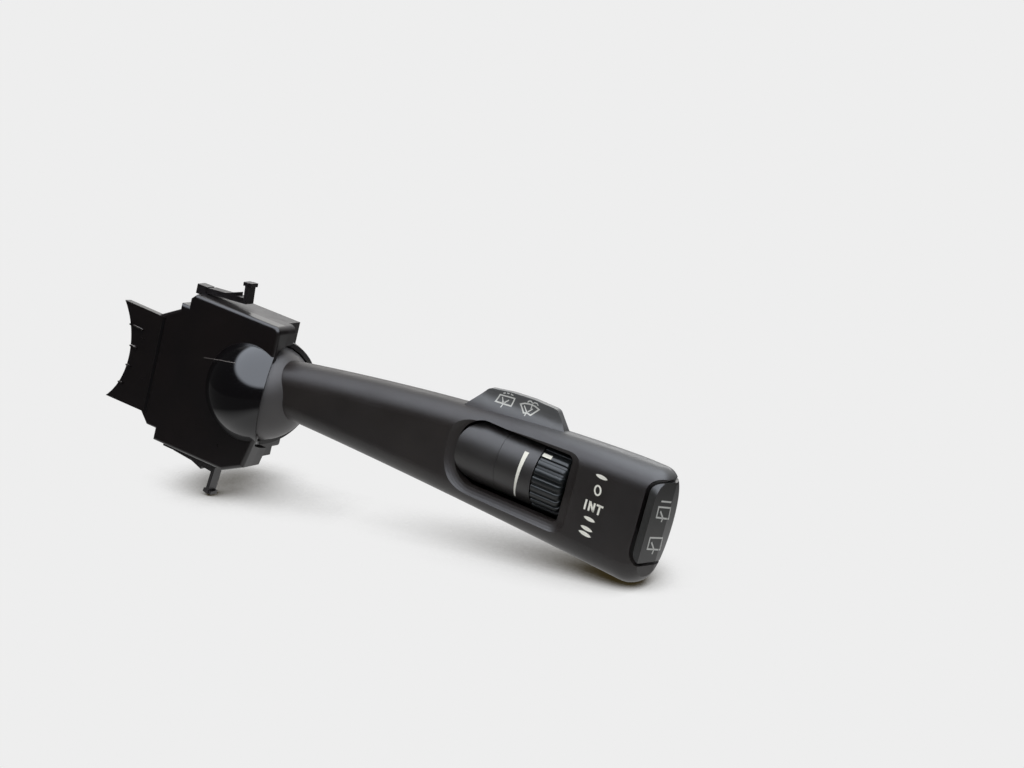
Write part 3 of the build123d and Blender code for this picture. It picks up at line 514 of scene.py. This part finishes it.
def makeScrews(look):
    boxes = screwPlaces("lever_screws", look["split"])
    low, high = boxes[0]
    radius, height = (high.x - low.x) / 2 / mm, (high.y - low.y) / mm
    floor, headFoot, turns = -look["recessDepth"], -look["headHeight"], look["turns"]
    # each ring's radius, its height from the head's top, and whether it follows the lobes of the recess
    rows = [(0.0, floor, False), (look["recessFloor"], floor, True), (1.0, -look["mouthDepth"], True),
            (look["recessMouth"], 0.0, True), (radius * look["crownAt"], look["crown"], False),
            (radius - look["edge"], -look["edgeDrop"], False), (radius, -look["edge"], False),
            (radius, headFoot, False), (look["shank"], headFoot, False),
            (look["shank"], -height + look["point"], False), (look["shank"] * look["pointShare"], -height, False)]
    corners = []
    for reach, rise, lobed in rows:
        for j in range(turns):
            angle = 2 * math.pi * j / turns
            wave = look["recess"] + look["recessWave"] * math.cos(look["lobes"] * angle)
            r = (reach * wave if lobed else reach) * mm
            corners.append((r * math.cos(angle), rise * mm, r * math.sin(angle)))
    faces = gridFaces(len(rows), turns, True)
    faces.append(tuple(range((len(rows) - 1) * turns, len(rows) * turns)))
    screw = meshObject("screwPiece", corners, faces)
    tops = [((a.x + b.x) / 2, b.y, (a.z + b.z) / 2) for a, b in boxes]
    copiesPiece("caseScrews", tops, screw, None, 0.0, look["crisp"], "steel", "lever", "lever_screws")


makeThumbwheel(thumbwheel)
makeScrews(caseScrew)
print("thumbwheel and screws made")


def surfaceOf(name):
    # a search tree over the part, in the shared frame
    part = bpy.data.objects[name]
    corners = [part.matrix_world @ v.co for v in part.data.vertices]
    return BVHTree.FromPolygons(corners, [tuple(p.vertices) for p in part.data.polygons])


def strokeQuads(points, width, closed=False):
    # a pen line of one width as a flat strip, mitred at its corners
    count = len(points)
    left, right = [], []
    for i, point in enumerate(points):
        here = Vector(point)
        runs = []
        if closed or i > 0:
            runs.append((here - Vector(points[i - 1])).normalized())
        if closed or i < count - 1:
            runs.append((Vector(points[(i + 1) % count]) - here).normalized())
        way = sum(runs, Vector((0, 0))).normalized()
        side = Vector((-way.y, way.x))
        mitre = max(0.5, abs(way.dot(runs[0])))
        left.append(here + side * width / 2 / mitre)
        right.append(here - side * width / 2 / mitre)
    quads = []
    for i in range(count if closed else count - 1):
        j = (i + 1) % count
        quads.append([left[i], right[i], right[j], left[j]])
    return quads


def penQuads(lines, width):
    return [quad for line in lines for quad in strokeQuads(line, width)]


def ribbonQuads(points, widths):
    # a strip along the points that has its own width at each of them
    quads = []
    for a, b, wide, nextWide in zip(points, points[1:], widths, widths[1:]):
        side = Vector((-(b - a).y, (b - a).x)).normalized()
        quads.append([a + side * wide / 2, a - side * wide / 2, b - side * nextWide / 2, b + side * nextWide / 2])
    return quads


def leafQuads(start, end, width, steps=8, fullness=0.6):
    # a lens-shaped stroke, pointed at both ends, and blunter with less fullness
    a, b = Vector(start), Vector(end)
    shares = [i / steps for i in range(steps + 1)]
    return ribbonQuads([a + (b - a) * share for share in shares],
                       [width * math.sin(math.pi * share) ** fullness for share in shares])


def taperQuads(points, startWidth, endWidth):
    # a curved stroke that grows thinner along its way
    last = len(points) - 1
    return ribbonQuads([Vector(point) for point in points],
                       [startWidth + (endWidth - startWidth) * i / last for i in range(last + 1)])


def ovalPoints(x, z, wide, high, lean, count=24):
    # lean slides the top of the oval sideways, as in slanted writing
    points = []
    for i in range(count):
        angle = 2 * math.pi * i / count
        rise = high * math.sin(angle)
        points.append((x + wide * math.cos(angle) + lean * rise, z + rise))
    return points


def splitQuad(quad, step):
    # cut a four-cornered patch small enough to follow a curved surface
    a, b, c, d = quad
    across = max(1, math.ceil(max((b - a).length, (c - d).length) / step))
    along = max(1, math.ceil(max((d - a).length, (c - b).length) / step))
    cells = []
    for i in range(along):
        for j in range(across):
            cell = []
            for u, v in ((i, j), (i, j + 1), (i + 1, j + 1), (i + 1, j)):
                near, distant = a.lerp(b, v / across), d.lerp(c, v / across)
                cell.append(near.lerp(distant, u / along))
            cells.append(cell)
    return cells


markWeldDistance = 0.00001


def printMark(name, quads, body, project, surface, look, paint):
    # project turns a drawing point into a point in front of the surface and the way from there to the surface;
    # the mark is cut in cells of the size its look gives, and lifted off the surface
    mesh = bmesh.new()
    for quad in quads:
        for cell in splitQuad(quad, look["cell"]):
            rays = [project(point) for point in cell]
            hits = [surface.ray_cast(start, way)[0] for start, way in rays]
            if any(hit is None for hit in hits):
                continue
            lifted = [hit - way * look["lift"] * mm for hit, (start, way) in zip(hits, rays)]
            face = mesh.faces.new([mesh.verts.new(corner) for corner in lifted])
            face.normal_update()
            if face.normal.dot(rays[-1][1]) > 0:
                face.normal_flip()
    bmesh.ops.remove_doubles(mesh, verts=mesh.verts, dist=markWeldDistance)
    data = bpy.data.meshes.new(name)
    mesh.to_mesh(data)
    mesh.free()
    smoothFaces(data)
    data.materials.append(finishes[paint])
    made = addObject(name, data)
    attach(made, body)


# where the rays that place the marks start, clear of the part, in mm from the pivot or from the drum's axis
rayStart = {"front": -30.0, "end": 180.0, "drum": 30.0}


def onFront(point):
    return pivot + Vector((point[0], rayStart["front"], point[1])) * mm, Vector((0.0, 1.0, 0.0))


def onEnd(point):
    # drawn in Y and Z on the lever's end
    return pivot + Vector((rayStart["end"], point[0], point[1])) * mm, Vector((-1.0, 0.0, 0.0))


def roundDrum(point):
    # drawn as X and the angle above straight ahead, seen from outside the drum
    angle = math.radians(point[1])
    outwards = Vector((0.0, -math.cos(angle), math.sin(angle)))
    return drumAxis + Vector((point[0] * mm, 0.0, 0.0)) + outwards * (rayStart["drum"] * mm), -outwards


drumLow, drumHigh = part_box("interval_dial")
drumAxis = Vector((pivot.x, (drumLow.y + drumHigh.y) / 2, (drumLow.z + drumHigh.z) / 2))
leverSurface = surfaceOf("lever_front_shell")
drumSurface = surfaceOf("marked_drum")
wheelSurface = surfaceOf("thumbwheel")
rockerSurface = surfaceOf("end_rocker")

leverPrint = {
    "lift": 0.03,
    "cell": 0.8,
    "leafWidth": 1.15,
    "oval": (124.8, 14.05, 0.95, 1.35, -0.12),
    "ovalPen": 0.52,
    "leaves": [((122.9, 18.3), (126.9, 18.0)), ((122.7, 5.3), (126.6, 4.9)),
               ((122.5, 2.4), (126.6, 1.9)), ((122.3, 0.8), (126.6, 0.2))],
    "wordPen": 0.62,
    "word": [[(122.25, 7.3), (122.25, 10.35)],
             [(123.6, 7.35), (123.5, 10.3)], [(123.55, 10.2), (125.05, 7.6)], [(125.05, 7.45), (125.05, 10.2)],
             [(125.7, 9.95), (127.9, 9.9)], [(126.75, 7.2), (126.8, 9.9)]],
}
quads = strokeQuads(ovalPoints(*leverPrint["oval"]), leverPrint["ovalPen"], True)
for start, end in leverPrint["leaves"]:
    quads += leafQuads(start, end, leverPrint["leafWidth"])
quads += penQuads(leverPrint["word"], leverPrint["wordPen"])
printMark("leverMarks", quads, "lever", onFront, leverSurface, leverPrint, "markPaint")

tabPrint = {
    "lift": 0.03,
    "cell": 0.5,
    "pen": 0.42,
    "thinPen": 0.34,
    "rearWindow": [(82.3, 25.3), (83.0, 27.6), (88.0, 28.1), (87.6, 25.6)],
    "rearWiper": [[(84.7, 24.3), (84.9, 25.4)], [(84.9, 25.4), (83.9, 27.2)], [(85.1, 25.8), (86.3, 27.0)]],
    "rearSpray": [[(83.9, 28.3), (84.6, 28.7)], [(85.1, 28.8), (85.9, 28.9)], [(86.4, 28.9), (87.3, 28.8)]],
    "screen": [(90.3, 27.2), (91.6, 27.9), (93.2, 28.2), (95.0, 28.2), (96.6, 27.7), (94.6, 25.3), (93.4, 25.5),
               (92.2, 25.2)],
    "screenWiper": [[(92.9, 24.5), (93.1, 25.6)], [(93.1, 25.6), (91.6, 27.2)], [(93.3, 25.8), (94.6, 27.2)]],
    "screenSpray": [[(92.4, 28.4), (92.7, 29.0), (93.4, 29.2), (94.0, 28.8)],
                    [(94.2, 28.8), (94.7, 29.2), (95.5, 29.2), (96.0, 28.7)], [(94.0, 26.9), (94.05, 28.6)]],
}
quads = strokeQuads(tabPrint["rearWindow"], tabPrint["pen"], True)
quads += strokeQuads(tabPrint["screen"], tabPrint["pen"], True)
for part in ("rearWiper", "rearSpray", "screenWiper", "screenSpray"):
    quads += penQuads(tabPrint[part], tabPrint["thinPen"])
printMark("tabSymbols", quads, "lever", onFront, leverSurface, tabPrint, "symbolPaint")

drumPrint = {
    "lift": 0.03,
    "cell": 0.8,
    "radius": 10.7,
    "scale": [(99.3, 36), (99.3, 24), (99.25, 12), (99.15, 0), (99.0, -12), (98.8, -24), (98.55, -36),
              (98.25, -50)],
    "thick": 1.45,
    "thin": 0.45,
}
degreesPerMm = math.degrees(1 / drumPrint["radius"])
scalePoints = [(x, angle / degreesPerMm) for x, angle in drumPrint["scale"]]


def roundDrumFlat(point):
    # drawn as X and the way round the drum, both in mm
    return roundDrum((point[0], point[1] * degreesPerMm))


quads = taperQuads(scalePoints, drumPrint["thick"], drumPrint["thin"])
printMark("drumScale", quads, "lever", roundDrumFlat, drumSurface, drumPrint, "markPaint")

indexPrint = {
    "lift": 0.03,
    "cell": 0.7,
    "corners": [(104.3, 38.4), (107.3, 38.4), (107.3, 44.8), (104.3, 44.8)],
}
quads = [[Vector(corner) for corner in indexPrint["corners"]]]
printMark("dialIndex", quads, "dial", roundDrum, wheelSurface, indexPrint, "markPaint")

rockerPrint = {
    "lift": 0.01,
    "cell": 0.5,
    "pen": 0.5,
    "upper": {"box": [(-5.2, 12.4), (-5.4, 15.6), (0.2, 14.9), (1.0, 11.4)],
              "lines": [[(-5.0, 17.3), (-0.3, 16.7)], [(-2.4, 10.8), (-2.2, 12.0)], [(-2.2, 12.0), (-4.1, 14.2)]]},
    "lower": {"box": [(-5.3, 2.7), (-5.4, 6.2), (0.5, 5.6), (1.1, 1.9)],
              "lines": [[(-2.5, 0.9), (-2.2, 2.3)], [(-2.2, 2.3), (-4.2, 4.7)]]},
}
quads = []
for symbol in (rockerPrint["upper"], rockerPrint["lower"]):
    quads += strokeQuads(symbol["box"], rockerPrint["pen"], True)
    quads += penQuads(symbol["lines"], rockerPrint["pen"])
printMark("rockerSymbols", quads, "rocker", onEnd, rockerSurface, rockerPrint, "symbolPaint")

# painted highlights: thin light lines along the edges of the shield's ribs and along the moulded line on the cover
coverHighlightPrint = {
    "lift": 0.02,
    "cell": 0.5,
    "pen": 0.3,
    "thinPen": 0.2,
    "ribs": [[(-49.6, 5.5), (-45.0, 5.5)], [(-49.4, -1.0), (-46.8, -1.0)], [(-49.9, -7.7), (-48.0, -7.7)],
             [(-51.7, -14.3), (-49.7, -14.3)]],
    "line": [[(-18.2, 5.2), (-14.3, 6.05), (-11.6, 7.1), (-8.8, 8.0), (-4.8, 9.0), (-1.8, 9.6)]],
}
quads = penQuads(coverHighlightPrint["ribs"], coverHighlightPrint["pen"]) + penQuads(coverHighlightPrint["line"], coverHighlightPrint["thinPen"])
printMark("coverLines", quads, "root", onFront, surfaceOf("front_cover"), coverHighlightPrint, "ridgeHighlightPaint")
print("marks printed on the lever, tab, drum, dial, rocker and cover")


ground = {
    "normal": (-0.186, -0.162, 0.969),
    "middle": (62.0, 0.0),  # below the stalk's middle, from the pivot in mm
    "radius": 0.55,
    "turns": 96,
    "colour": rgba(238, 238, 238),
    "shade": rgba(48, 41, 24),
    "shadeSamples": 16,
    "shadeReach": 0.035,
    "shadeFrom": 0.71,
    "shadeTo": 0.26,
    "squeeze": (0.75, 1.0, 1.0),  # distances count less along the stalk
    "mirrorNear": 0.07,
    "mirrorFar": 0.105,
    "mirrorDim": 0.10,
}


def groundFinish(centre):
    # clear to the camera apart from a contact shadow, so a lever that dips under it stays in view; pale in
    # reflections close by and dim from afar
    finish = Finish(bpy.data.materials.new("groundPaper"))
    clear = finish.node("ShaderNodeBsdfTransparent")
    openness = finish.node("ShaderNodeAmbientOcclusion", {"samples": ground["shadeSamples"]},
                           {"Distance": ground["shadeReach"]}, "AO")
    amount = finish.spread(openness, ground["shadeTo"], ground["shadeFrom"], 1.0, 0.0)
    shaded = finish.blend(amount, clear, finish.glow(ground["shade"]))
    middle = tuple(c * s for c, s in zip(centre, ground["squeeze"]))
    away = finish.node("ShaderNodeVectorMath", {"operation": "DISTANCE"},
                       {0: finish.place(ground["squeeze"]), 1: middle}, "Value")
    mirrored = finish.blend(finish.spread(away, ground["mirrorNear"], ground["mirrorFar"]),
                            finish.glow(ground["colour"]), finish.glow(ground["colour"], ground["mirrorDim"]))
    seen = finish.blend(finish.path("Is Camera Ray"), clear, shaded)
    seen = finish.blend(finish.path("Is Glossy Ray"), seen, mirrored)
    beneath = finish.node("ShaderNodeNewGeometry", output="Backfacing")
    return finish.close(finish.blend(beneath, seen, clear))


up = Vector(ground["normal"]).normalized()
lowest = min(up.dot(v.co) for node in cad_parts.values() for v in node.data.vertices)
centre = pivot + Vector((*ground["middle"], 0.0)) * mm
centre += up * (lowest - up.dot(centre))
side = up.orthogonal().normalized()
across = up.cross(side)
turns = ground["turns"]
rim = []
for i in range(turns):
    angle = 2 * math.pi * i / turns
    rim.append(centre + (side * math.cos(angle) + across * math.sin(angle)) * ground["radius"])
floor = meshObject("ground", rim, [tuple(range(turns))])
if floor.data.polygons[0].normal.dot(up) < 0:
    floor.data.flip_normals()
floor.data.materials.append(groundFinish(centre))

lamps = {
    "window": {"from": (0.10, -0.50, 0.86), "wide": 0.6, "high": 0.7, "power": 4.7, "colour": (0.95, 0.98, 1.0),
               "mirrored": False},
    "ceiling": {"from": (-0.10, -0.25, 0.96), "wide": 0.8, "high": 0.8, "power": 6.6, "colour": (1.0, 0.99, 0.98),
                "mirrored": False},
    "rear": {"from": (-0.46, 0.86, 0.40), "wide": 0.9, "high": 0.3, "power": 1.6, "colour": (1.0, 0.99, 0.97),
             "mirrored": True},
}
lampAim = pivot + Vector((55.0, 0.0, 5.0)) * mm  # near the stalk's middle
for name, lamp in lamps.items():
    light = bpy.data.lights.new(name, "AREA")
    light.shape, light.size, light.size_y = "RECTANGLE", lamp["wide"], lamp["high"]
    light.energy, light.color = lamp["power"], lamp["colour"]
    lampObject = addObject(name, light)
    lampObject.location = lampAim + Vector(lamp["from"])
    lampObject.rotation_mode = "QUATERNION"
    lampObject.rotation_quaternion = (-Vector(lamp["from"])).to_track_quat("-Z", "Y")
    lampObject.visible_glossy = lamp["mirrored"]

# the room as it shows in glossy surfaces: a wide pale window overhead in front, a paler rear, the rest dim
sky = {
    "ambient": 0.14,
    "bounce": 0.62,  # light thrown up by the pale ground
    "dim": 0.04,
    "horizon": 0.05,  # half the width of the soft edge between the light from above and from below
    "window": (0.06, -0.40, 0.915),
    "windowFrom": 0.60,
    "windowTo": 0.68,
    "windowLight": 4.4,
    "windowColour": (0.93, 0.99, 1.10, 1.0),
    "rear": (-0.20, 0.62, 0.76),
    "rearFrom": 0.60,
    "rearTo": 0.90,
    "rearLight": 0.9,
}
studio = Finish(bpy.data.worlds.new("studio"))
bpy.context.scene.world = studio.owner


def nearness(direction, low, high):
    # 0 away from the given direction, 1 close to it
    ray = studio.node("ShaderNodeTexCoord", output="Generated")
    along = studio.node("ShaderNodeVectorMath", {"operation": "DOT_PRODUCT"},
                        {0: ray, 1: tuple(Vector(direction).normalized())}, "Value")
    return studio.spread(along, low, high)


def backdrop(strength, colour=(1.0, 1.0, 1.0, 1.0)):
    return studio.node("ShaderNodeBackground", values={"Color": colour, "Strength": strength})


straight, glossy = studio.path("Is Camera Ray"), studio.path("Is Glossy Ray")
window = nearness(sky["window"], sky["windowFrom"], sky["windowTo"])
rear = nearness(sky["rear"], sky["rearFrom"], sky["rearTo"])
below = nearness(-up, -sky["horizon"], sky["horizon"])
room = studio.blend(rear, backdrop(sky["dim"]), backdrop(sky["rearLight"]))
mirrored = studio.blend(window, room, backdrop(sky["windowLight"], sky["windowColour"]))
lit = studio.blend(below, backdrop(sky["ambient"]), backdrop(sky["bounce"]))
around = studio.blend(glossy, lit, mirrored)
studio.close(studio.blend(straight, around, backdrop(1.0, ground["colour"])), "ShaderNodeOutputWorld")
bpy.context.scene.view_settings.view_transform = "Standard"
print("floor and lights set")
